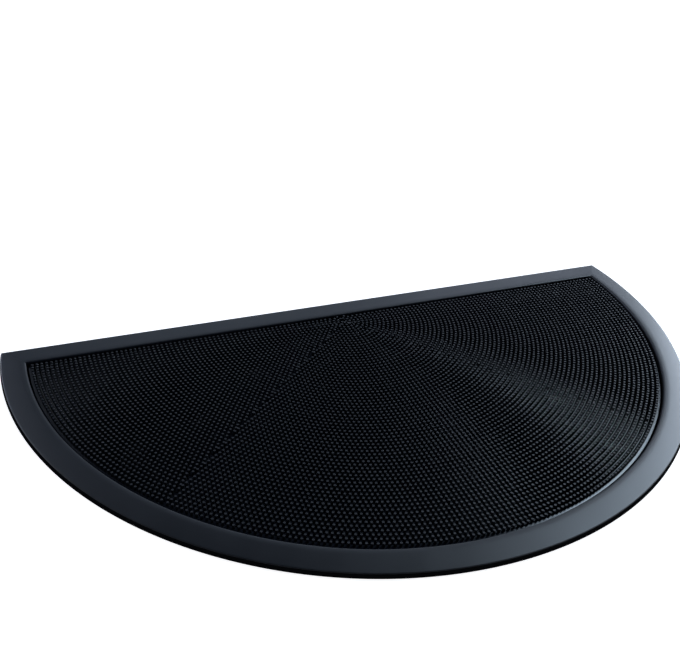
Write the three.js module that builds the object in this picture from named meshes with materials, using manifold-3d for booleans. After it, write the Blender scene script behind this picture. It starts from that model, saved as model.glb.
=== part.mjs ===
// Half-round doormat: one moulding with a sloping border, a rim rib and a field of concentric ribs.
import * as THREE from 'three';
import { mergeVertices } from 'three/addons/utils/BufferGeometryUtils.js';
import Module from 'manifold-3d';

// Plan sizes, in millimetres
const ARC_RADIUS = 375;
const CENTRE_TO_BACK_EDGE = 45;
const DEPTH = ARC_RADIUS + CENTRE_TO_BACK_EDGE;
const BORDER_WIDTH_ARC = 26.3;
const BORDER_WIDTH_BACK = 30;

// Heights above the surface that the mat lies on
const SHEET_TOP = 2;
const OUTER_EDGE_HEIGHT = 5;
const CREST_HEIGHT = 7;
const RIB_HEIGHT = 6.9;

// Border section: outer wall leaning in, rounded top edge, slope up to the crest, rounded shoulder down
// to the groove. Each shoulder step is a share of the shoulder's width and of its rise above the sheet.
const WALL_LEAN = 1.3;
const OUTER_ROUND = 0.8;
const SHOULDER_WIDTH = 5.5;
const SHOULDER_STEPS = [
  { across: 0.06, height: 0.66 },
  { across: 0.26, height: 0.91 },
  { across: 1, height: 1 },
];
const SLOPE_PAST_CREST = 0.1;

// Rim rib: the low unbroken ring between the border and the field, its top sloping down outward
const RIM_RIB_RADIUS = 345.7;
const RIM_RIB_FOOT = 3;
const RIM_RIB_TOP = 2.4;
const RIM_RIB_INNER_HEIGHT = 3.9;
const RIM_RIB_OUTER_HEIGHT = 3.6;

// Field of concentric rows, outermost row first: flat tops, V grooves between them
const ROW_PITCH = 4.8;
const OUTER_ROW_RADIUS = 343.1;
const ROW_TOP_WIDTH = 2.2;
const ROW_SIDE_LEAN = 1.1;
const VALLEY_HEIGHT = 2.4;
const BACK_GROOVE = 2.4;
const ROOT_DEPTH = 0.6;

// Steps around a full circle: the rim, then each band of rows
const RIM_STEPS = 88;
const ROW_BANDS = [
  { rows: 63, steps: 44 },
  { rows: 8, steps: 16 },
];

// Places along Y, and the length by which a cutting solid runs past the mat
const BACK_EDGE_Y = DEPTH / 2;
const CENTRE_Y = BACK_EDGE_Y - CENTRE_TO_BACK_EDGE;
const CLEAR = 20;

// Corners nearer than this are one corner
const SAME_CORNER = 1e-4;

const wasm = await Module();
wasm.setup();

// Closed geometry to a solid: shared corners are merged and empty triangles dropped
function solidOf(geometry) {
  const bare = geometry.clone();
  bare.deleteAttribute('normal');
  bare.deleteAttribute('uv');
  const merged = mergeVertices(bare, SAME_CORNER);
  const corners = merged.index.array;
  const kept = [];
  for (let i = 0; i < corners.length; i += 3) {
    const [a, b, c] = [corners[i], corners[i + 1], corners[i + 2]];
    if (a !== b && b !== c && c !== a) {
      kept.push(a, b, c);
    }
  }
  const mesh = new wasm.Mesh({
    numProp: 3,
    vertProperties: new Float32Array(merged.attributes.position.array),
    triVerts: new Uint32Array(kept),
  });
  return new wasm.Manifold(mesh);
}

// Section given as radius and height pairs, turned about the centre of the arc
function turned(section, steps) {
  const points = section.map(([radius, height]) => new THREE.Vector2(radius, height));
  const geometry = new THREE.LatheGeometry(points, steps);
  geometry.rotateX(Math.PI / 2);
  geometry.translate(0, CENTRE_Y, 0);
  return solidOf(geometry);
}

// Section given as distance in front of the back edge and height, drawn out along the back edge
function alongBack(section) {
  const shape = new THREE.Shape(section.map(([inFront, height]) => new THREE.Vector2(-inFront, height)));
  const length = 2 * (ARC_RADIUS + CLEAR);
  const geometry = new THREE.ExtrudeGeometry(shape, { depth: length, bevelEnabled: false });
  geometry.translate(BACK_EDGE_Y, 0, -length / 2);
  geometry.applyMatrix4(new THREE.Matrix4().makeBasis(
    new THREE.Vector3(0, 1, 0),
    new THREE.Vector3(0, 0, 1),
    new THREE.Vector3(1, 0, 0),
  ));
  return solidOf(geometry);
}

// Outer section of the border, as distance inside the outer edge and height
function borderSection(width) {
  return [
    [0, 0],
    [WALL_LEAN, OUTER_EDGE_HEIGHT - OUTER_ROUND],
    [WALL_LEAN + OUTER_ROUND, OUTER_EDGE_HEIGHT],
    [width - SHOULDER_WIDTH, CREST_HEIGHT],
  ];
}

// Inner section of the border, from the groove floor over the shoulder, as distance inside the outer edge
function shoulderSection(width) {
  const rise = CREST_HEIGHT - SHEET_TOP;
  const steps = SHOULDER_STEPS.map(({ across, height }) => [
    width - across * SHOULDER_WIDTH,
    SHEET_TOP + height * rise,
  ]);
  const [lastInside, lastHeight] = steps[steps.length - 1];
  return [
    [width, SHEET_TOP],
    ...steps,
    [lastInside - SHOULDER_WIDTH, lastHeight + SLOPE_PAST_CREST * SHOULDER_WIDTH],
  ];
}

// Slab with the border's slopes, mitred where the arc meets the back edge
function slopedSlab() {
  const arc = borderSection(BORDER_WIDTH_ARC).map(([inside, height]) => [ARC_RADIUS - inside, height]);
  const arcSlab = turned([[0, 0], ...arc, [0, CREST_HEIGHT]], RIM_STEPS);
  const back = borderSection(BORDER_WIDTH_BACK);
  const backSlab = alongBack([...back, [DEPTH + CLEAR, CREST_HEIGHT], [DEPTH + CLEAR, 0]]);
  return arcSlab.intersect(backSlab);
}

// Space inside the border, above the sheet
function recess() {
  const arc = shoulderSection(BORDER_WIDTH_ARC).map(([inside, height]) => [ARC_RADIUS - inside, height]);
  const top = arc[arc.length - 1][1];
  const arcSpace = turned([[0, SHEET_TOP], ...arc, [0, top]], RIM_STEPS);
  const back = shoulderSection(BORDER_WIDTH_BACK);
  const backSpace = alongBack([...back, [DEPTH + CLEAR, top], [DEPTH + CLEAR, SHEET_TOP]]);
  return arcSpace.intersect(backSpace);
}

// One band of rows, with sides that lean in from its outer and inner feet, rooted in the sheet
function rowBand(outerRow, rows, steps) {
  const root = SHEET_TOP - ROOT_DEPTH;
  const halfTop = ROW_TOP_WIDTH / 2;
  const outer = OUTER_ROW_RADIUS - outerRow * ROW_PITCH + halfTop + ROW_SIDE_LEAN;
  const inner = OUTER_ROW_RADIUS - (outerRow + rows - 1) * ROW_PITCH - halfTop - ROW_SIDE_LEAN;
  const section = [[outer, root]];
  for (let row = outerRow; row < outerRow + rows; row += 1) {
    const radius = OUTER_ROW_RADIUS - row * ROW_PITCH;
    if (row > outerRow) {
      section.push([radius + ROW_PITCH / 2, VALLEY_HEIGHT]);
    }
    section.push([radius + halfTop, RIB_HEIGHT]);
    section.push([radius - halfTop, RIB_HEIGHT]);
  }
  section.push([inner, root], [outer, root]);
  return turned(section, steps);
}

// Rim rib, from its root in the sheet to its sloping top
function rimRib() {
  const root = SHEET_TOP - ROOT_DEPTH;
  const [foot, top] = [RIM_RIB_FOOT / 2, RIM_RIB_TOP / 2];
  return turned([
    [RIM_RIB_RADIUS - foot, root],
    [RIM_RIB_RADIUS + foot, root],
    [RIM_RIB_RADIUS + top, RIM_RIB_OUTER_HEIGHT],
    [RIM_RIB_RADIUS - top, RIM_RIB_INNER_HEIGHT],
    [RIM_RIB_RADIUS - foot, root],
  ], RIM_STEPS);
}

// Part of the ribs that lies in front of the groove along the back border
function inFrontOfBackGroove(ribs) {
  const start = BORDER_WIDTH_BACK + BACK_GROOVE;
  return ribs.intersect(alongBack([
    [start, 0],
    [start, CREST_HEIGHT + CLEAR],
    [DEPTH + CLEAR, CREST_HEIGHT + CLEAR],
    [DEPTH + CLEAR, 0],
  ]));
}

function matSolid() {
  let ribs = rimRib();
  let outerRow = 0;
  for (const { rows, steps } of ROW_BANDS) {
    ribs = ribs.add(rowBand(outerRow, rows, steps));
    outerRow += rows;
  }
  return slopedSlab().subtract(recess()).add(inFrontOfBackGroove(ribs));
}

// Solid back to a geometry with flat faces
function geometryOf(solid) {
  const { vertProperties, triVerts, numProp } = solid.getMesh();
  const positions = new Float32Array(triVerts.length * 3);
  triVerts.forEach((vertex, i) => {
    for (let axis = 0; axis < 3; axis += 1) {
      positions[3 * i + axis] = vertProperties[numProp * vertex + axis];
    }
  });
  const geometry = new THREE.BufferGeometry();
  geometry.setAttribute('position', new THREE.BufferAttribute(positions, 3));
  geometry.computeVertexNormals();
  return geometry;
}

const blackVinyl = new THREE.MeshStandardMaterial({
  color: 0x17191c,
  roughness: 0.55,
  metalness: 0,
});

const mat = new THREE.Mesh(geometryOf(matSolid()), blackVinyl);
mat.name = 'mat';

const doormat = new THREE.Group();
doormat.add(mat);

export default doormat;
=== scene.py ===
"""Half-round vinyl pin doormat: the moulded border, the low ledges and the field of pins, on a pale floor."""
import math

import bpy
from mathutils import Matrix, Vector


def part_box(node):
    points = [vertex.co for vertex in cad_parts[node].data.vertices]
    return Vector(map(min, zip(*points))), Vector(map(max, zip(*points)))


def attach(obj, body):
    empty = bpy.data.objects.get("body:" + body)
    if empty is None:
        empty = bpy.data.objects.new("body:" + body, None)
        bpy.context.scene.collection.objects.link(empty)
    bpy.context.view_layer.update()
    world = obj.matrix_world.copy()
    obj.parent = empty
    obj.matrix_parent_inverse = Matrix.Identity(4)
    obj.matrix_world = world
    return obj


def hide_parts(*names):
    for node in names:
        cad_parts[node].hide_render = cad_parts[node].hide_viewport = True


bl_info = {
    "name": "Half-round pin doormat",
    "version": (1, 0, 0),
    "blender": (4, 5, 0),
    "location": "View3D > Sidebar > Doormat",
    "description": "Builds a half-round vinyl doormat with a sloping border and concentric rows of pins",
    "category": "Object",
}

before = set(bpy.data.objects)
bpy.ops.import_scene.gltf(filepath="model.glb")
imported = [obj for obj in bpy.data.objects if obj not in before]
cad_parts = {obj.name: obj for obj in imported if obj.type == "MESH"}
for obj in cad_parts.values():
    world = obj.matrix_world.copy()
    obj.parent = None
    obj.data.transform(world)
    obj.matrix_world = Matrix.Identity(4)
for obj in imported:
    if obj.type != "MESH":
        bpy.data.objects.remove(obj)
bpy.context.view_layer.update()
MAT_LOW, MAT_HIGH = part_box("mat")

MM = 0.001
MAT_WIDTH = MAT_HIGH[0] - MAT_LOW[0]
MAT_DEPTH = MAT_HIGH[1] - MAT_LOW[1]
MAT_HEIGHT = MAT_HIGH[2] - MAT_LOW[2]
BODY = "root"

# Steps along the arc and along the straight back edge of the moulding
ARC_STEPS = 300
BACK_STEPS = 60

# Steps along the outermost ledge; shorter ledges have fewer, down to the least
LEDGE_STEPS = 200
LEAST_LEDGE_STEPS = 24

# Depth by which ledges and pins are rooted in the sheet
ROOT_DEPTH = 0.4 * MM

# The moulding's section: the small bevel at its foot, and the levels that make its outer wall
FOOT_BEVEL = 0.3 * MM
WALL_LEVELS = 2

# The outer top edge: the part of a circle that rounds it, in degrees from level, and its steps
EDGE_ROUND_FROM = 24
EDGE_ROUND_TO = 86
EDGE_ROUND_STEPS = 6

# The slope: its steps, and the height by which it bows up between the edge and the crest
SLOPE_STEPS = 8
SLOPE_CROWN = 0.10 * MM

# The inner shoulder: its steps, and its roundness (1 is a plain quarter ellipse, less is squarer)
SHOULDER_STEPS = 9
SHOULDER_POWER = 0.36

# Edges that bend more than this, in degrees, stay sharp
MOULDING_SHARP = 40
LEDGE_SHARP = 30

# Place, after the smooth border's, of the matt material with painted shade that the outer wall and the
# channel floor share: its colour is darkened to stand in for the shade there
MATT_SHADE_SLOT = 1

# A face whose normal rises more than this faces up
FACES_UP = 0.5

# Sides of a pin, and its rings from foot to tip: share of its height and of its top radius. The foot has
# a radius of its own.
PIN_SIDES = 8
PIN_RINGS = [
    {"height": 0.0, "radius": None},
    {"height": 0.95, "radius": 1.0},
    {"height": 1.0, "radius": 0.85},
]

# A face this level, up or down, is a flat end of a pin
LEVEL_FACE = 0.95

# Small differences between pins: tilt and turn either way, in radians, share by which some are smaller, and
# fixed seeds
PIN_TILT = 0.02
PIN_TURN = 3.14
PIN_UNEVENNESS = 0.015
TURN_SEED = 11
GROWTH_SEED = 23

# Rows of the front's outer part; the inner part has the rest
FRONT_OUTER_ROWS = 21

# Widest reach of a part's rows either side of its middle, in degrees, and seats to spare at each end
WIDEST_REACH = 100
SPARE_SEATS = 2

# Patterns in the vinyl, from the broadest to the finest; the grain's own scale differs from part to part
CLOUDS = {"scale": 9.0, "detail": 3.0, "roughness": 0.55}
PATCHES = {"scale": 34.0, "detail": 4.0, "roughness": 0.6}
WAVES = {"scale": 38.0, "detail": 1.0, "roughness": 0.4}
SPECKLE = {"scale": 420.0, "detail": 2.0, "roughness": 0.6}
GRAIN = {"detail": 3.0, "roughness": 0.6}

# Shares of the patterns in the colour, in the roughness round its middle, and in the relief
COLOUR_MIX = {"clouds": 0.75, "speckle": 0.25}
GLOSS_MIX = {"clouds": 0.08, "patches": 0.10, "speckle": 0.04}
GLOSS_MIDDLE = 0.11
RELIEF_MIX = {"grain": 0.35, "waves": 0.65}
VINYL_IOR = 1.5

# Grain of each part: how fine it is, and how deep
BORDER_GRAIN = {"grain_scale": 900.0, "grain_depth": 0.06 * MM}
LEDGE_GRAIN = {"grain_scale": 900.0, "grain_depth": 0.03 * MM}
PIN_GRAIN = {"grain_scale": 1400.0, "grain_depth": 0.03 * MM}

# Gloss and colour scale of the matt parts, whose darkened colour is painted shade on the outer wall and the
# channel floor, and of the pins' tops, whose lightened colour is painted light
MATT_PAINTED_SHADE_LOOK = {"gloss_level": 0.0, "shade": 0.4}
# Pins' tops: a rougher, less glossy finish, and a lightened colour that is painted light, making the tops
# brighter than the sides
PIN_TOP_PAINTED_LIGHT_LOOK = {"gloss_level": 0.30, "shade": 1.4}

# The camera: its aim, distance, direction, roll, focal length and sideways shift, matched to the photograph
VIEW_AIM = (-0.03778, 0.17428, 0.0)
VIEW_DISTANCE = 1.00370
VIEW_YAW = -0.38507
VIEW_PITCH = 0.55766
VIEW_ROLL = 0.05590
VIEW_LENS = 46.575
VIEW_SHIFT = 0.04398
SENSOR_WIDTH = 36.0
NEAR_CLIP = 0.01
FAR_CLIP = 50.0

# The floor: how far it reaches from the middle, its level, and how strongly it glows; and the dim blue room
FLOOR_REACH = 6.0
FLOOR_LEVEL = -0.2 * MM
FLOOR_GLOW = 0.95
FLOOR_CLOUDING = 0.01
ROOM_COLOUR = (0.35, 0.5, 1.0, 1.0)
ROOM_STRENGTH = 0.06

# Finish of the floor
FLOOR_CLOUDS = {"scale": 2.0, "detail": 2.0, "roughness": 0.5}
FLOOR_ROUGHNESS = 0.8

# A colour mix node's sockets: its first and second colour going in, and the mix coming out
MIX_FIRST = 6
MIX_SECOND = 7
MIX_RESULT = 2

# Soft studio lights: direction they come from (clockwise from the back, then up, in degrees), half width in
# degrees, and strength for red, green and blue
LIGHTS = [
    {"name": "key_low", "turn": 64.0, "rise": 14.0, "half": 9.0, "strength": (2.13, 2.43, 2.86)},
    {"name": "key_high", "turn": 64.0, "rise": 43.0, "half": 9.0, "strength": (0.50, 0.63, 0.76)},
    {"name": "right_low", "turn": 37.0, "rise": 19.0, "half": 10.0, "strength": (0.115, 0.130, 0.160)},
    {"name": "back", "turn": 15.0, "rise": 28.0, "half": 13.0, "strength": (0.075, 0.090, 0.110)},
    {"name": "back_left_high", "turn": -30.0, "rise": 32.0, "half": 13.0, "strength": (0.300, 0.335, 0.385)},
    {"name": "back_left_low", "turn": -30.0, "rise": 14.0, "half": 13.0, "strength": (0.24, 0.29, 0.45)},
]


class DoormatSizes(bpy.types.PropertyGroup):
    """Sizes of the moulding and its pins"""

    arc_radius: bpy.props.FloatProperty(
        name="Arc radius", description="Radius of the outer edge's arc",
        default=MAT_WIDTH / 2, unit="LENGTH", subtype="DISTANCE")
    centre_to_back: bpy.props.FloatProperty(
        name="Centre to back edge", description="From the arc's centre to the straight back edge",
        default=MAT_DEPTH - MAT_WIDTH / 2, unit="LENGTH", subtype="DISTANCE")
    border_arc: bpy.props.FloatProperty(
        name="Border on the arc", description="Width of the border along the arc",
        default=26.3 * MM, unit="LENGTH", subtype="DISTANCE")
    border_back: bpy.props.FloatProperty(
        name="Border at the back", description="Width of the border along the back edge",
        default=30 * MM, unit="LENGTH", subtype="DISTANCE")
    sheet_top: bpy.props.FloatProperty(
        name="Sheet thickness", description="Thickness of the sheet that carries the pins",
        default=2 * MM, unit="LENGTH", subtype="DISTANCE")
    edge_height: bpy.props.FloatProperty(
        name="Outer edge height", description="Height of the border at its outer edge",
        default=5 * MM, unit="LENGTH", subtype="DISTANCE")
    crest_height: bpy.props.FloatProperty(
        name="Crest height", description="Height of the border's crest",
        default=MAT_HEIGHT, unit="LENGTH", subtype="DISTANCE")
    wall_lean: bpy.props.FloatProperty(
        name="Wall lean", description="How far the outer wall leans in from its foot to its top edge",
        default=1.3 * MM, unit="LENGTH", subtype="DISTANCE")
    edge_round: bpy.props.FloatProperty(
        name="Outer edge radius", description="Rounding of the border's outer top edge",
        default=1.0 * MM, unit="LENGTH", subtype="DISTANCE")
    shoulder_width: bpy.props.FloatProperty(
        name="Shoulder width", description="Width of the rounded shoulder inside the crest",
        default=5.5 * MM, unit="LENGTH", subtype="DISTANCE")
    rim_ledge: bpy.props.FloatProperty(
        name="Rim ledge radius", description="Middle radius of the low ledge between the border and the pins",
        default=345.2 * MM, unit="LENGTH", subtype="DISTANCE")
    rim_ledge_width: bpy.props.FloatProperty(
        name="Rim ledge width", description="Width of the rim ledge's top",
        default=3.0 * MM, unit="LENGTH", subtype="DISTANCE")
    rim_ledge_height: bpy.props.FloatProperty(
        name="Rim ledge height", description="Height of the rim ledge's inner edge above the sheet",
        default=1.2 * MM, unit="LENGTH", subtype="DISTANCE")
    row_ledge_width: bpy.props.FloatProperty(
        name="Row ledge width", description="Width of the low ledge that each row of pins stands on",
        default=3.1 * MM, unit="LENGTH", subtype="DISTANCE")
    row_ledge_height: bpy.props.FloatProperty(
        name="Row ledge height", description="Height of a row ledge's inner edge above the sheet",
        default=1.1 * MM, unit="LENGTH", subtype="DISTANCE")
    rim_ledge_fall: bpy.props.FloatProperty(
        name="Rim ledge fall", description="Slope by which the rim ledge's top falls outward",
        default=math.radians(7.5), unit="ROTATION", subtype="ANGLE")
    row_ledge_fall: bpy.props.FloatProperty(
        name="Row ledge fall", description="Slope by which the row ledges' tops fall outward",
        default=math.radians(11.0), unit="ROTATION", subtype="ANGLE")
    row_pitch: bpy.props.FloatProperty(
        name="Row pitch", description="Distance between two rows of pins",
        default=4.8 * MM, unit="LENGTH", subtype="DISTANCE")
    outer_row: bpy.props.FloatProperty(
        name="Outer row radius", description="Radius of the outermost row of pins",
        default=343.1 * MM, unit="LENGTH", subtype="DISTANCE")
    rows: bpy.props.IntProperty(
        name="Rows", description="Number of rows of pins", default=72, min=2)
    pin_spacing: bpy.props.FloatProperty(
        name="Pin spacing", description="Distance between two pins along their row",
        default=4.8 * MM, unit="LENGTH", subtype="DISTANCE")
    pin_foot: bpy.props.FloatProperty(
        name="Pin foot radius", description="Radius of a pin at the sheet",
        default=1.4 * MM, unit="LENGTH", subtype="DISTANCE")
    pin_top: bpy.props.FloatProperty(
        name="Pin top radius", description="Radius of a pin under its bevelled tip",
        default=1.4 * MM, unit="LENGTH", subtype="DISTANCE")
    pin_height: bpy.props.FloatProperty(
        name="Pin top height", description="Height of the pins' tips above the floor",
        default=6.9 * MM, unit="LENGTH", subtype="DISTANCE")
    back_groove: bpy.props.FloatProperty(
        name="Back groove", description="Width of the groove between the back border and the pins",
        default=2.4 * MM, unit="LENGTH", subtype="DISTANCE")
    seam_right: bpy.props.FloatProperty(
        name="Right seam", description="Where the front and right parts of the pin layout meet",
        default=math.radians(-49.5), unit="ROTATION", subtype="ANGLE")
    seam_left: bpy.props.FloatProperty(
        name="Left seam", description="Where the front and left parts of the pin layout meet",
        default=math.radians(-138.5), unit="ROTATION", subtype="ANGLE")


class DoormatFinish(bpy.types.PropertyGroup):
    """Colours and finish"""

    vinyl: bpy.props.FloatVectorProperty(
        name="Vinyl colour", description="Colour of the moulded vinyl",
        default=(0.0075, 0.0080, 0.0092), size=3, min=0.0, max=1.0, subtype="COLOR")
    vinyl_pale: bpy.props.FloatVectorProperty(
        name="Vinyl bloom", description="Slightly paler colour in the vinyl's faint clouding",
        default=(0.0115, 0.0122, 0.0140), size=3, min=0.0, max=1.0, subtype="COLOR")
    border_roughness: bpy.props.FloatProperty(
        name="Border roughness", description="Roughness of the smooth border", default=0.40, min=0.0, max=1.0)
    ledge_roughness: bpy.props.FloatProperty(
        name="Ledge roughness", description="Roughness of the glossier ledges between the pins",
        default=0.23, min=0.0, max=1.0)
    edge_roughness: bpy.props.FloatProperty(
        name="Edge roughness", description="Roughness of the outer wall and the channels between the ledges",
        default=0.80, min=0.0, max=1.0)
    pin_side_roughness: bpy.props.FloatProperty(
        name="Pin side roughness", description="Roughness of the pins' sides",
        default=0.25, min=0.0, max=1.0)
    pin_top_roughness: bpy.props.FloatProperty(
        name="Pin top roughness", description="Roughness of the pins' flat tops",
        default=0.50, min=0.0, max=1.0)
    floor: bpy.props.FloatVectorProperty(
        name="Floor colour", description="Colour of the pale floor",
        default=(0.86, 0.86, 0.87), size=3, min=0.0, max=1.0, subtype="COLOR")


class Value:
    """A node's socket that takes part in Python expressions"""

    def __init__(self, tree, socket):
        self.tree = tree
        self.socket = socket

    def combine(self, operation, other, swapped=False):
        node = self.tree.nodes.new("ShaderNodeMath")
        node.operation = operation
        pair = (other, self) if swapped else (self, other)
        for socket, item in zip(node.inputs, pair):
            if isinstance(item, Value):
                self.tree.links.new(item.socket, socket)
            else:
                socket.default_value = item
        return Value(self.tree, node.outputs[0])

    def __add__(self, other):
        return self.combine("ADD", other)

    __radd__ = __add__

    def __sub__(self, other):
        return self.combine("SUBTRACT", other)

    def __rsub__(self, other):
        return self.combine("SUBTRACT", other, swapped=True)

    def __mul__(self, other):
        return self.combine("MULTIPLY", other)


def put_node(tree, kind, settings=(), inputs=(), output=0):
    """Add a node, set it and feed it, and give back one of its outputs"""
    made = tree.nodes.new(kind)
    for name, setting in dict(settings).items():
        setattr(made, name, setting)
    for name, item in dict(inputs).items():
        socket = made.inputs[name]
        if isinstance(item, Value):
            tree.links.new(item.socket, socket)
        else:
            socket.default_value = item
    return Value(tree, made.outputs[output])


class Finish:
    """A material's node tree, filled by one method"""

    def __init__(self, name):
        self.material = bpy.data.materials.new(name)
        self.material.use_nodes = True
        self.tree = self.material.node_tree
        self.tree.nodes.clear()

    def node(self, *description, **options):
        return put_node(self.tree, *description, **options)

    def object_place(self):
        return self.node("ShaderNodeTexCoord", output="Object")

    def noise(self, place, scale, detail=2.0, roughness=0.5):
        return self.node(
            "ShaderNodeTexNoise",
            {"noise_dimensions": "3D"},
            {"Vector": place, "Scale": scale, "Detail": detail, "Roughness": roughness},
        )

    def blend(self, share, first, second):
        """Mix of two colours by a share"""
        made = self.tree.nodes.new("ShaderNodeMix")
        made.data_type = "RGBA"
        self.tree.links.new(share.socket, made.inputs[0])
        made.inputs[MIX_FIRST].default_value = (*first, 1.0)
        made.inputs[MIX_SECOND].default_value = (*second, 1.0)
        return Value(self.tree, made.outputs[MIX_RESULT])

    def finish(self, shader):
        out = self.tree.nodes.new("ShaderNodeOutputMaterial")
        self.tree.links.new(shader.socket, out.inputs["Surface"])
        return self.material


def vinyl_finish(name, colours, roughness, grain_scale, grain_depth, gloss_level=0.5, shade=1.0):
    """Moulded black vinyl: faint clouding, satin gloss that varies a little, fine grain"""
    made = Finish(name)
    place = made.object_place()
    clouds = made.noise(place, **CLOUDS)
    speckle = made.noise(place, **SPECKLE)
    share = clouds * COLOUR_MIX["clouds"] + speckle * COLOUR_MIX["speckle"]
    # The shade factor scales both colours: below 1 it is painted shade, above 1 painted light
    low, high = (tuple(shade * channel for channel in tone) for tone in (colours.vinyl, colours.vinyl_pale))
    colour = made.blend(share, low, high)
    patches = made.noise(place, **PATCHES)
    gloss = roughness - GLOSS_MIDDLE + clouds * GLOSS_MIX["clouds"]
    gloss = gloss + patches * GLOSS_MIX["patches"]
    gloss = gloss + speckle * GLOSS_MIX["speckle"]
    grain = made.noise(place, grain_scale, **GRAIN)
    waves = made.noise(place, **WAVES)
    relief = grain * RELIEF_MIX["grain"] + waves * RELIEF_MIX["waves"]
    bump = made.node("ShaderNodeBump", (), {"Strength": 1.0, "Distance": grain_depth, "Height": relief})
    shader = made.node("ShaderNodeBsdfPrincipled", (), {
        "Base Color": colour, "Roughness": gloss, "Normal": bump, "IOR": VINYL_IOR,
        "Specular IOR Level": gloss_level})
    return made.finish(shader)


def new_object(name, mesh):
    piece = bpy.data.objects.new(name, mesh)
    bpy.context.scene.collection.objects.link(piece)
    return piece


def field_centre(sizes):
    """Middle of the arc, in the part's frame"""
    return Vector((0.0, MAT_HIGH[1] - sizes.centre_to_back, 0.0))


def border_profile(sizes):
    """Section from the underside to the groove floor: inset on the arc, inset at the back, height"""
    section = [(FOOT_BEVEL, FOOT_BEVEL, 0.0), (0.0, 0.0, FOOT_BEVEL)]
    radius = sizes.edge_round
    start, end = math.radians(EDGE_ROUND_FROM), math.radians(EDGE_ROUND_TO)
    for step in range(EDGE_ROUND_STEPS + 1):
        turn = start + (end - start) * step / EDGE_ROUND_STEPS
        inset = sizes.wall_lean + radius * (1 - math.cos(turn))
        section.append((inset, inset, sizes.edge_height - radius * (1 - math.sin(turn))))
    inner = sizes.wall_lean + radius
    crest_arc = sizes.border_arc - sizes.shoulder_width
    crest_back = sizes.border_back - sizes.shoulder_width
    rise = sizes.crest_height - sizes.edge_height
    for step in range(1, SLOPE_STEPS + 1):
        share = step / SLOPE_STEPS
        crown = SLOPE_CROWN * math.sin(math.pi * share)
        section.append((
            inner + (crest_arc - inner) * share,
            inner + (crest_back - inner) * share,
            sizes.edge_height + rise * share + crown,
        ))
    drop = sizes.crest_height - sizes.sheet_top
    for step in range(1, SHOULDER_STEPS + 1):
        turn = math.pi / 2 * step / SHOULDER_STEPS
        across = sizes.shoulder_width * math.sin(turn) ** SHOULDER_POWER
        height = sizes.sheet_top + drop * max(math.cos(turn), 0.0) ** SHOULDER_POWER
        section.append((crest_arc + across, crest_back + across, height))
    return section


def outline_ring(sizes, inset_arc, inset_back, height):
    """One ring of points around the outline: the arc from the right corner to the left, then the back edge"""
    centre = field_centre(sizes)
    radius = sizes.arc_radius - inset_arc
    back = sizes.centre_to_back - inset_back
    corner = math.asin(back / radius)
    ring = []
    for step in range(ARC_STEPS + 1):
        angle = corner - (math.pi + 2 * corner) * step / ARC_STEPS
        ring.append((centre.x + radius * math.cos(angle), centre.y + radius * math.sin(angle), height))
    half = radius * math.cos(corner)
    for step in range(1, BACK_STEPS):
        ring.append((centre.x - half + 2 * half * step / BACK_STEPS, centre.y + back, height))
    return ring


def give_matt_shaded_faces(mesh, count):
    """Give the outer wall and the channel floor, among the first and the last faces, the matt finish with
    painted shade: a darkened colour that stands in for the shade on them
    """
    for face in mesh.polygons[:WALL_LEVELS * count]:
        face.material_index = MATT_SHADE_SLOT
    for face in mesh.polygons[-2 * count:]:
        if face.normal.z > FACES_UP:
            face.material_index = MATT_SHADE_SLOT


def moulding_mesh(sizes):
    """The whole moulding but its pins: underside, outer wall, sloping border, shoulder and sheet"""
    rings = [outline_ring(sizes, *point) for point in border_profile(sizes)]
    count = len(rings[0])
    points = [point for ring in rings for point in ring]
    faces = []
    for level in range(len(rings) - 1):
        for step in range(count):
            following = (step + 1) % count
            low, high = level * count, (level + 1) * count
            faces.append((low + following, low + step, high + step, high + following))
    centre = field_centre(sizes)
    under = len(points)
    points.append((centre.x, centre.y, 0.0))
    top = len(points)
    points.append((centre.x, centre.y, sizes.sheet_top))
    last = (len(rings) - 1) * count
    for step in range(count):
        following = (step + 1) % count
        faces.append((under, step, following))
        faces.append((top, last + following, last + step))
    mesh = bpy.data.meshes.new("moulding")
    mesh.from_pydata(points, [], faces)
    mesh.validate()
    give_matt_shaded_faces(mesh, count)
    mesh.shade_smooth()
    mesh.set_sharp_from_angle(angle=math.radians(MOULDING_SHARP))
    sharp = mesh.attributes.get("sharp_edge") or mesh.attributes.new("sharp_edge", "BOOLEAN", "EDGE")
    corners = {0, ARC_STEPS}
    for edge in mesh.edges:
        first, second = edge.vertices
        if first < under and second < under and first % count == second % count and first % count in corners:
            sharp.data[edge.index].value = True
    return mesh


def ledge_rings(sizes):
    """Middle radius, half width, height and fall of the rim's ledge, then of the ledge of each row of pins"""
    rings = [(sizes.rim_ledge, sizes.rim_ledge_width / 2, sizes.rim_ledge_height, sizes.rim_ledge_fall)]
    for row in range(sizes.rows):
        radius = sizes.outer_row - row * sizes.row_pitch
        rings.append((radius, sizes.row_ledge_width / 2, sizes.row_ledge_height, sizes.row_ledge_fall))
    return rings


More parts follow.
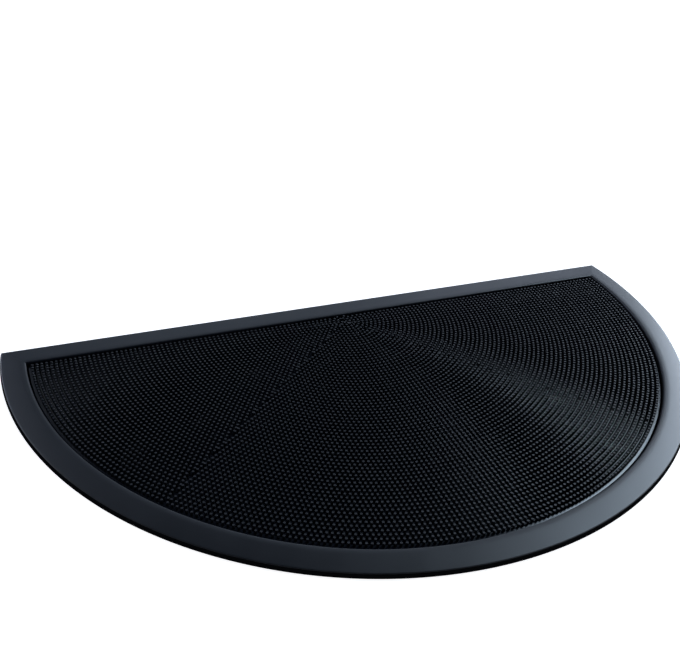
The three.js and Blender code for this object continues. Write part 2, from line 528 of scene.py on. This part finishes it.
def ledges_mesh(sizes):
    """The low ledges on the sheet, one behind the other, with closed ends at the back groove"""
    centre = field_centre(sizes)
    back = sizes.centre_to_back - sizes.border_back - sizes.back_groove
    low = sizes.sheet_top - ROOT_DEPTH
    points, faces = [], []
    for radius, half, height, fall in ledge_rings(sizes):
        inner = sizes.sheet_top + height
        outer = inner - 2 * half * math.tan(fall)
        section = ((-half, low), (-half, inner), (half, outer), (half, low))
        corner = math.asin(min(1.0, back / radius))
        steps = max(LEAST_LEDGE_STEPS, int(LEDGE_STEPS * radius / sizes.outer_row))
        start, count = len(points), len(section)
        for step in range(steps + 1):
            angle = corner - (math.pi + 2 * corner) * step / steps
            for across, level in section:
                reach = radius + across
                points.append((centre.x + reach * math.cos(angle), centre.y + reach * math.sin(angle), level))
        for step in range(steps):
            for side in range(count):
                following = (side + 1) % count
                near, far = start + step * count, start + (step + 1) * count
                faces.append((near + side, near + following, far + following, far + side))
        faces.append(tuple(start + side for side in reversed(range(count))))
        faces.append(tuple(start + steps * count + side for side in range(count)))
    mesh = bpy.data.meshes.new("ledges")
    mesh.from_pydata(points, [], faces)
    mesh.validate()
    mesh.shade_smooth()
    mesh.set_sharp_from_angle(angle=math.radians(LEDGE_SHARP))
    return mesh


class FieldTree:
    """The node tree that sets a part of the pin field out on its rows"""

    INPUTS = [
        ("Outer Row", "NodeSocketFloat"),
        ("Row Pitch", "NodeSocketFloat"),
        ("Rows", "NodeSocketInt"),
        ("Pin Spacing", "NodeSocketFloat"),
        ("Columns", "NodeSocketInt"),
        ("Middle Angle", "NodeSocketFloat"),
        ("Low Angle", "NodeSocketFloat"),
        ("High Angle", "NodeSocketFloat"),
        ("Centre X", "NodeSocketFloat"),
        ("Centre Y", "NodeSocketFloat"),
        ("Back Limit", "NodeSocketFloat"),
        ("Seat", "NodeSocketFloat"),
        ("Pin Height", "NodeSocketFloat"),
        ("Foot Radius", "NodeSocketFloat"),
        ("Top Radius", "NodeSocketFloat"),
        ("Unevenness", "NodeSocketFloat"),
        ("Side Vinyl", "NodeSocketMaterial"),
        ("Painted Light Top Vinyl", "NodeSocketMaterial"),
    ]

    def __init__(self):
        self.tree = bpy.data.node_groups.new("pin_field", "GeometryNodeTree")
        face = self.tree.interface
        face.new_socket("Geometry", in_out="INPUT", socket_type="NodeSocketGeometry")
        self.sockets = {}
        for name, kind in self.INPUTS:
            self.sockets[name] = face.new_socket(name, in_out="INPUT", socket_type=kind).identifier
        face.new_socket("Geometry", in_out="OUTPUT", socket_type="NodeSocketGeometry")
        self.entry = self.tree.nodes.new("NodeGroupInput")
        self.build()

    def put(self, *description, **options):
        return put_node(self.tree, *description, **options)

    def given(self, name):
        return Value(self.tree, self.entry.outputs[name])

    def maths(self, operation, *items):
        return self.put("ShaderNodeMath", {"operation": operation}, dict(enumerate(items)))

    def pin(self):
        """One pin: a circle drawn up a short path whose radius follows the rings"""
        path = self.put("GeometryNodeCurvePrimitiveLine", {"mode": "POINTS"}, {"End": (0.0, 0.0, 1.0)})
        path = self.put("GeometryNodeResampleCurve", (), {"Curve": path, "Count": len(PIN_RINGS)})
        ring = self.put("GeometryNodeInputIndex")
        height, radius = self.ring_values(ring)
        stand = self.put("ShaderNodeCombineXYZ", (), {"Z": height})
        path = self.put("GeometryNodeSetPosition", (), {"Geometry": path, "Position": stand})
        path = self.put("GeometryNodeSetCurveRadius", (), {"Curve": path, "Radius": radius})
        circle = self.put("GeometryNodeCurvePrimitiveCircle", (), {"Resolution": PIN_SIDES, "Radius": 1.0})
        return self.put(
            "GeometryNodeCurveToMesh", (),
            {"Curve": path, "Profile Curve": circle, "Fill Caps": True, "Scale": radius},
        )

    def ring_values(self, ring):
        switches = []
        for key in ("height", "radius"):
            node = self.tree.nodes.new("GeometryNodeIndexSwitch")
            node.data_type = "FLOAT"
            while len(node.index_switch_items) < len(PIN_RINGS):
                node.index_switch_items.new()
            self.tree.links.new(ring.socket, node.inputs["Index"])
            for number, row in enumerate(PIN_RINGS):
                if key == "height":
                    item = self.given("Pin Height") * row["height"]
                elif row["radius"] is None:
                    item = self.given("Foot Radius")
                else:
                    item = self.given("Top Radius") * row["radius"]
                self.tree.links.new(item.socket, node.inputs[number + 1])
            switches.append(Value(self.tree, node.outputs[0]))
        return switches

    def build(self):
        rows, columns = self.given("Rows"), self.given("Columns")
        grid = self.put(
            "GeometryNodeMeshGrid", (),
            {"Size X": rows - 1, "Size Y": columns - 1, "Vertices X": rows, "Vertices Y": columns},
        )
        spot = self.put("GeometryNodeInputPosition")
        split = self.tree.nodes.new("ShaderNodeSeparateXYZ")
        self.tree.links.new(spot.socket, split.inputs[0])
        row = Value(self.tree, split.outputs[0]) + (rows - 1) * 0.5
        column = Value(self.tree, split.outputs[1])
        radius = self.given("Outer Row") - row * self.given("Row Pitch")
        turn = self.maths("DIVIDE", column * self.given("Pin Spacing"), radius)
        angle = self.given("Middle Angle") + turn
        x = self.given("Centre X") + radius * self.maths("COSINE", angle)
        y = self.given("Centre Y") + radius * self.maths("SINE", angle)
        outside = self.maths(
            "MAXIMUM",
            self.maths("MAXIMUM", self.maths("LESS_THAN", angle, self.given("Low Angle")),
                       self.maths("GREATER_THAN", angle, self.given("High Angle"))),
            self.maths("GREATER_THAN", y, self.given("Back Limit")),
        )
        seats = self.put(
            "GeometryNodeDeleteGeometry", {"domain": "POINT"}, {"Geometry": grid, "Selection": outside})
        place = self.put("ShaderNodeCombineXYZ", (), {"X": x, "Y": y, "Z": self.given("Seat")})
        seats = self.put("GeometryNodeSetPosition", (), {"Geometry": seats, "Position": place})
        lean = self.put("FunctionNodeRandomValue", {"data_type": "FLOAT_VECTOR"}, {
            "Min": (-PIN_TILT, -PIN_TILT, -PIN_TURN), "Max": (PIN_TILT, PIN_TILT, PIN_TURN),
            "Seed": TURN_SEED})
        growth = self.tree.nodes.new("FunctionNodeRandomValue")
        growth.data_type = "FLOAT"
        self.tree.links.new((1.0 - self.given("Unevenness")).socket, growth.inputs[2])
        growth.inputs[3].default_value = 1.0
        growth.inputs["Seed"].default_value = GROWTH_SEED
        pins = self.put("GeometryNodeInstanceOnPoints", (), {
            "Points": seats, "Instance": self.pin(), "Rotation": lean,
            "Scale": Value(self.tree, growth.outputs[1])})
        pins = self.put("GeometryNodeRealizeInstances", (), {"Geometry": pins})
        facing = self.tree.nodes.new("ShaderNodeSeparateXYZ")
        self.tree.links.new(self.put("GeometryNodeInputNormal").socket, facing.inputs[0])
        level = self.maths("ABSOLUTE", Value(self.tree, facing.outputs[2]))
        flat = self.maths("GREATER_THAN", level, LEVEL_FACE)
        pins = self.put("GeometryNodeSetShadeSmooth", (), {"Geometry": pins, "Shade Smooth": 1.0 - flat})
        pins = self.put("GeometryNodeSetMaterial", (), {
            "Geometry": pins, "Material": self.given("Side Vinyl")})
        # The flat ends of the pins take the top vinyl, whose lightened colour is painted light
        pins = self.put("GeometryNodeSetMaterial", (), {
            "Geometry": pins, "Selection": flat, "Material": self.given("Painted Light Top Vinyl")})
        leave = self.tree.nodes.new("NodeGroupOutput")
        self.tree.links.new(pins.socket, leave.inputs[0])


def field_parts(sizes):
    """Parts of the field that share a layout: middle and end angles, rows left out first, rows set out"""
    back, front = math.pi / 2, -math.pi / 2
    right, left = sizes.seam_right, sizes.seam_left
    outer_rows = FRONT_OUTER_ROWS
    return [
        {"name": "pins_right", "middle": 0.0, "low": right, "high": back, "skip": 0, "rows": sizes.rows},
        {"name": "pins_left", "middle": -math.pi, "low": back - 2 * math.pi, "high": left, "skip": 0,
         "rows": sizes.rows},
        {"name": "pins_front_outer", "middle": front, "low": left, "high": right, "skip": 0,
         "rows": outer_rows},
        {"name": "pins_front_inner", "middle": front, "low": left, "high": right, "skip": outer_rows,
         "rows": sizes.rows - outer_rows},
    ]


def plain_from_tree(name, field, given):
    """Object made by the tree with these inputs, as a plain mesh"""
    carrier = new_object(name + "_carrier", bpy.data.meshes.new(name + "_carrier"))
    modifier = carrier.modifiers.new("field", "NODES")
    modifier.node_group = field.tree
    for key, item in given.items():
        modifier[field.sockets[key]] = item
    graph = bpy.context.evaluated_depsgraph_get()
    mesh = bpy.data.meshes.new_from_object(carrier.evaluated_get(graph))
    mesh.name = name
    bpy.data.objects.remove(carrier, do_unlink=True)
    if not mesh.polygons:
        raise RuntimeError(name + " came out empty")
    return new_object(name, mesh)


def settle(piece, material):
    if not piece.data.materials:
        piece.data.materials.append(material)
    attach(piece, BODY)


class DOORMAT_OT_moulding(bpy.types.Operator):
    """Build the moulding: sheet, sloping border and underside"""

    bl_idname = "doormat.moulding"
    bl_label = "Moulding"

    def execute(self, context):
        sizes, colours = context.scene.doormat_sizes, context.scene.doormat_finish
        material = vinyl_finish("vinyl_border", colours, colours.border_roughness, **BORDER_GRAIN)
        # The outer wall and the channel floor: matt vinyl with its colour darkened, painted shade
        edge = vinyl_finish("vinyl_edge_painted_shade", colours, colours.edge_roughness, **BORDER_GRAIN, **MATT_PAINTED_SHADE_LOOK)
        piece = new_object("moulding", moulding_mesh(sizes))
        for finish in (material, edge):
            piece.data.materials.append(finish)
        settle(piece, material)
        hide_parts("mat")
        return {"FINISHED"}


class DOORMAT_OT_ledges(bpy.types.Operator):
    """Build the low ledges that the rows of pins stand on, and the one along the rim"""

    bl_idname = "doormat.ledges"
    bl_label = "Ledges"

    def execute(self, context):
        sizes, colours = context.scene.doormat_sizes, context.scene.doormat_finish
        material = vinyl_finish("vinyl_ledge", colours, colours.ledge_roughness, **LEDGE_GRAIN)
        settle(new_object("ledges", ledges_mesh(sizes)), material)
        return {"FINISHED"}


class DOORMAT_OT_pins(bpy.types.Operator):
    """Set out the pins on their rows, in the parts of the field that share a layout"""

    bl_idname = "doormat.pins"
    bl_label = "Pins"

    def execute(self, context):
        sizes, colours = context.scene.doormat_sizes, context.scene.doormat_finish
        side = vinyl_finish("vinyl_pin_side", colours, colours.pin_side_roughness, **PIN_GRAIN)
        # The pins' tops: vinyl with its colour lightened, painted light
        top = vinyl_finish("vinyl_pin_top_painted_light", colours, colours.pin_top_roughness, **PIN_GRAIN, **PIN_TOP_PAINTED_LIGHT_LOOK)
        field = FieldTree()
        centre = field_centre(sizes)
        for part in field_parts(sizes):
            outer = sizes.outer_row - part["skip"] * sizes.row_pitch
            reach = max(part["high"] - part["middle"], part["middle"] - part["low"])
            half = int(outer * min(reach, math.radians(WIDEST_REACH)) / sizes.pin_spacing) + SPARE_SEATS
            piece = plain_from_tree(part["name"], field, {
                "Outer Row": outer,
                "Row Pitch": sizes.row_pitch,
                "Rows": part["rows"],
                "Pin Spacing": sizes.pin_spacing,
                "Columns": 2 * half + 1,
                "Middle Angle": part["middle"],
                "Low Angle": part["low"],
                "High Angle": part["high"],
                "Centre X": centre.x,
                "Centre Y": centre.y,
                "Back Limit": MAT_HIGH[1] - sizes.border_back - sizes.back_groove - sizes.pin_foot,
                "Seat": sizes.sheet_top - ROOT_DEPTH,
                "Pin Height": sizes.pin_height - sizes.sheet_top + ROOT_DEPTH,
                "Foot Radius": sizes.pin_foot,
                "Top Radius": sizes.pin_top,
                "Unevenness": PIN_UNEVENNESS,
                "Side Vinyl": side,
                "Painted Light Top Vinyl": top,
            })
            settle(piece, side)
        return {"FINISHED"}


class DOORMAT_OT_sheet(bpy.types.Operator):
    """Empty step: it leaves the mat as built and does nothing"""

    bl_idname = "doormat.sheet"
    bl_label = "Sheet"

    def execute(self, context):
        return {"FINISHED"}


def lay_floor(colour):
    """The pale floor, a little below the mat's underside"""
    mesh = bpy.data.meshes.new("floor")
    corners = [(-1, -1), (1, -1), (1, 1), (-1, 1)]
    mesh.from_pydata(
        [(across * FLOOR_REACH, along * FLOOR_REACH, FLOOR_LEVEL) for across, along in corners],
        [], [(0, 1, 2, 3)])
    floor = new_object("floor", mesh)
    made = Finish("floor_white")
    cloud = made.noise(made.object_place(), **FLOOR_CLOUDS)
    paint = made.blend(cloud, colour, tuple(min(1.0, channel + FLOOR_CLOUDING) for channel in colour))
    matt = made.node("ShaderNodeBsdfPrincipled", (), {
        "Base Color": paint, "Roughness": FLOOR_ROUGHNESS, "Emission Color": (1.0, 1.0, 1.0, 1.0),
        "Emission Strength": FLOOR_GLOW})
    mesh.materials.append(made.finish(matt))


def light_room(scene):
    """The dim blue room round the studio"""
    world = bpy.data.worlds.new("studio")
    world.use_nodes = True
    background = world.node_tree.nodes["Background"]
    background.inputs["Color"].default_value = ROOM_COLOUR
    background.inputs["Strength"].default_value = ROOM_STRENGTH
    scene.world = world


def hang_lamp(entry):
    """One soft lamp, far away in its direction"""
    lamp = bpy.data.lights.new(entry["name"], "SUN")
    lamp.energy = max(entry["strength"])
    lamp.color = tuple(channel / lamp.energy for channel in entry["strength"])
    lamp.angle = math.radians(2 * entry["half"])
    turn, rise = math.radians(entry["turn"]), math.radians(entry["rise"])
    level = math.cos(rise)
    source = Vector((math.sin(turn) * level, math.cos(turn) * level, math.sin(rise)))
    holder = new_object(entry["name"], lamp)
    holder.rotation_euler = source.to_track_quat("Z", "Y").to_euler()


def set_up_camera(scene):
    """The camera at the photograph's viewing angle"""
    view = bpy.data.cameras.new("view")
    view.sensor_width = SENSOR_WIDTH
    view.lens = VIEW_LENS
    view.shift_x = VIEW_SHIFT
    view.clip_start, view.clip_end = NEAR_CLIP, FAR_CLIP
    camera = new_object("view", view)
    camera.matrix_world = camera_place()
    scene.camera = camera
    scene.view_settings.view_transform = "Standard"


def camera_place():
    """The camera's place and turn, from its aim, distance, direction and roll"""
    forward = Vector((-math.sin(VIEW_YAW) * math.cos(VIEW_PITCH), math.cos(VIEW_YAW) * math.cos(VIEW_PITCH),
                      -math.sin(VIEW_PITCH)))
    level = Vector((math.cos(VIEW_YAW), math.sin(VIEW_YAW), 0.0))
    upright = level.cross(forward)
    right = level * math.cos(VIEW_ROLL) + upright * math.sin(VIEW_ROLL)
    up = upright * math.cos(VIEW_ROLL) - level * math.sin(VIEW_ROLL)
    place = Vector(VIEW_AIM) - forward * VIEW_DISTANCE
    turn = Matrix((right, up, -forward)).transposed().to_4x4()
    return Matrix.Translation(place) @ turn


class DOORMAT_OT_stage(bpy.types.Operator):
    """Lay the pale floor, set the studio lights and the camera"""

    bl_idname = "doormat.stage"
    bl_label = "Stage"

    def execute(self, context):
        scene = context.scene
        lay_floor(scene.doormat_finish.floor)
        light_room(scene)
        for entry in LIGHTS:
            hang_lamp(entry)
        set_up_camera(scene)
        return {"FINISHED"}


class DOORMAT_PT_panel(bpy.types.Panel):
    """Sizes, finish and building steps of the doormat"""

    bl_idname = "DOORMAT_PT_panel"
    bl_label = "Doormat"
    bl_space_type = "VIEW_3D"
    bl_region_type = "UI"
    bl_category = "Doormat"

    def draw(self, context):
        layout = self.layout
        for group in (context.scene.doormat_sizes, context.scene.doormat_finish):
            column = layout.column()
            for name in group.__annotations__:
                column.prop(group, name)
        for step in STEPS:
            layout.operator(step.bl_idname)


STEPS = (DOORMAT_OT_stage, DOORMAT_OT_moulding, DOORMAT_OT_ledges, DOORMAT_OT_pins, DOORMAT_OT_sheet)
CLASSES = (DoormatSizes, DoormatFinish, *STEPS, DOORMAT_PT_panel)


def register():
    for entry in CLASSES:
        bpy.utils.register_class(entry)
    bpy.types.Scene.doormat_sizes = bpy.props.PointerProperty(type=DoormatSizes)
    bpy.types.Scene.doormat_finish = bpy.props.PointerProperty(type=DoormatFinish)


def unregister():
    del bpy.types.Scene.doormat_finish
    del bpy.types.Scene.doormat_sizes
    for entry in reversed(CLASSES):
        bpy.utils.unregister_class(entry)


def main():
    register()
    bpy.ops.doormat.stage()
    bpy.ops.doormat.moulding()
    bpy.ops.doormat.ledges()
    bpy.ops.doormat.pins()
    bpy.ops.doormat.sheet()


if __name__ == "__main__":
    main()
